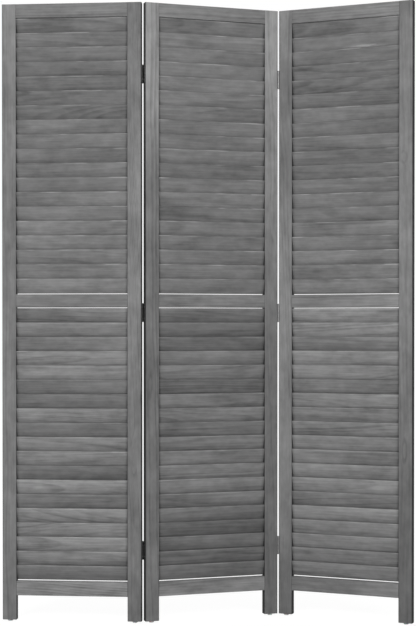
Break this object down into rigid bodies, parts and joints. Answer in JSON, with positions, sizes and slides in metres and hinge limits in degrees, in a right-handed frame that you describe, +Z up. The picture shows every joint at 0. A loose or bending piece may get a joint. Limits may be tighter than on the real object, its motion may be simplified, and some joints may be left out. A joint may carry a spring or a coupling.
{
  "type": "folding room divider",
  "caption": "Free-standing wooden folding screen: louvred panels with fixed slanted slats between stiles and rails, hinged edge to edge so it stands in a zigzag.",
  "frame": {"origin": "on the floor, under the middle of the bounding box of the screen as it stands half folded", "axes": "+X along the screen from its left end to its right end as seen from the front, +Y from its front to its back, +Z up; the slats lean with their top edges to the front"},
  "size_m": [1.1312, 0.1682, 1.7015],
  "materials": {
    "frame_wood": "grey washed stain, open grain, satin",
    "slat_wood": "grey washed stain, open grain, satin",
    "dowel_wood": "bare beech",
    "hinge_steel": "zinc plated",
    "pin_steel": "zinc plated",
    "screw_steel": "zinc plated",
    "nail_steel": "bright steel",
    "glide_nylon": "white nylon"
  },
  "bodies": {
    "middle_panel": {"left_joint_lower_hinge_right_leaf": "hinge_steel", "left_joint_middle_hinge_right_leaf": "hinge_steel", "left_joint_upper_hinge_right_leaf": "hinge_steel", "middle_panel_bottom_rail": "frame_wood", "middle_panel_dowels": "dowel_wood", "middle_panel_glide_nails": "nail_steel", "middle_panel_left_glide": "glide_nylon", "middle_panel_left_joint_screws": "screw_steel", "middle_panel_left_stile": "frame_wood", "middle_panel_lower_slats": "slat_wood", "middle_panel_mid_rail": "frame_wood", "middle_panel_right_glide": "glide_nylon", "middle_panel_right_joint_screws": "screw_steel", "middle_panel_right_stile": "frame_wood", "middle_panel_top_rail": "frame_wood", "middle_panel_upper_slats": "slat_wood", "right_joint_lower_hinge_left_leaf": "hinge_steel", "right_joint_lower_hinge_pin": "pin_steel", "right_joint_middle_hinge_left_leaf": "hinge_steel", "right_joint_middle_hinge_pin": "pin_steel", "right_joint_upper_hinge_left_leaf": "hinge_steel", "right_joint_upper_hinge_pin": "pin_steel"},
    "left_panel": {"left_joint_lower_hinge_left_leaf": "hinge_steel", "left_joint_lower_hinge_pin": "pin_steel", "left_joint_middle_hinge_left_leaf": "hinge_steel", "left_joint_middle_hinge_pin": "pin_steel", "left_joint_upper_hinge_left_leaf": "hinge_steel", "left_joint_upper_hinge_pin": "pin_steel", "left_panel_bottom_rail": "frame_wood", "left_panel_dowels": "dowel_wood", "left_panel_glide_nails": "nail_steel", "left_panel_left_glide": "glide_nylon", "left_panel_left_joint_screws": "screw_steel", "left_panel_left_stile": "frame_wood", "left_panel_lower_slats": "slat_wood", "left_panel_mid_rail": "frame_wood", "left_panel_right_glide": "glide_nylon", "left_panel_right_stile": "frame_wood", "left_panel_top_rail": "frame_wood", "left_panel_upper_slats": "slat_wood"},
    "right_panel": {"right_joint_lower_hinge_right_leaf": "hinge_steel", "right_joint_middle_hinge_right_leaf": "hinge_steel", "right_joint_upper_hinge_right_leaf": "hinge_steel", "right_panel_bottom_rail": "frame_wood", "right_panel_dowels": "dowel_wood", "right_panel_glide_nails": "nail_steel", "right_panel_left_glide": "glide_nylon", "right_panel_left_stile": "frame_wood", "right_panel_lower_slats": "slat_wood", "right_panel_mid_rail": "frame_wood", "right_panel_right_glide": "glide_nylon", "right_panel_right_joint_screws": "screw_steel", "right_panel_right_stile": "frame_wood", "right_panel_top_rail": "frame_wood", "right_panel_upper_slats": "slat_wood"}
  },
  "joints": [
    {"name": "left_fold", "type": "hinge", "parent": "middle_panel", "child": "left_panel", "pos_m": [-0.17709, -0.03572, 0.85], "axis": [0, 0, -1], "range_deg": [-24.2, 156.8]},
    {"name": "right_fold", "type": "hinge", "parent": "middle_panel", "child": "right_panel", "pos_m": [0.19995, 0.06488, 0.85], "axis": [0, 0, -1], "range_deg": [-42, 139]}
  ]
}
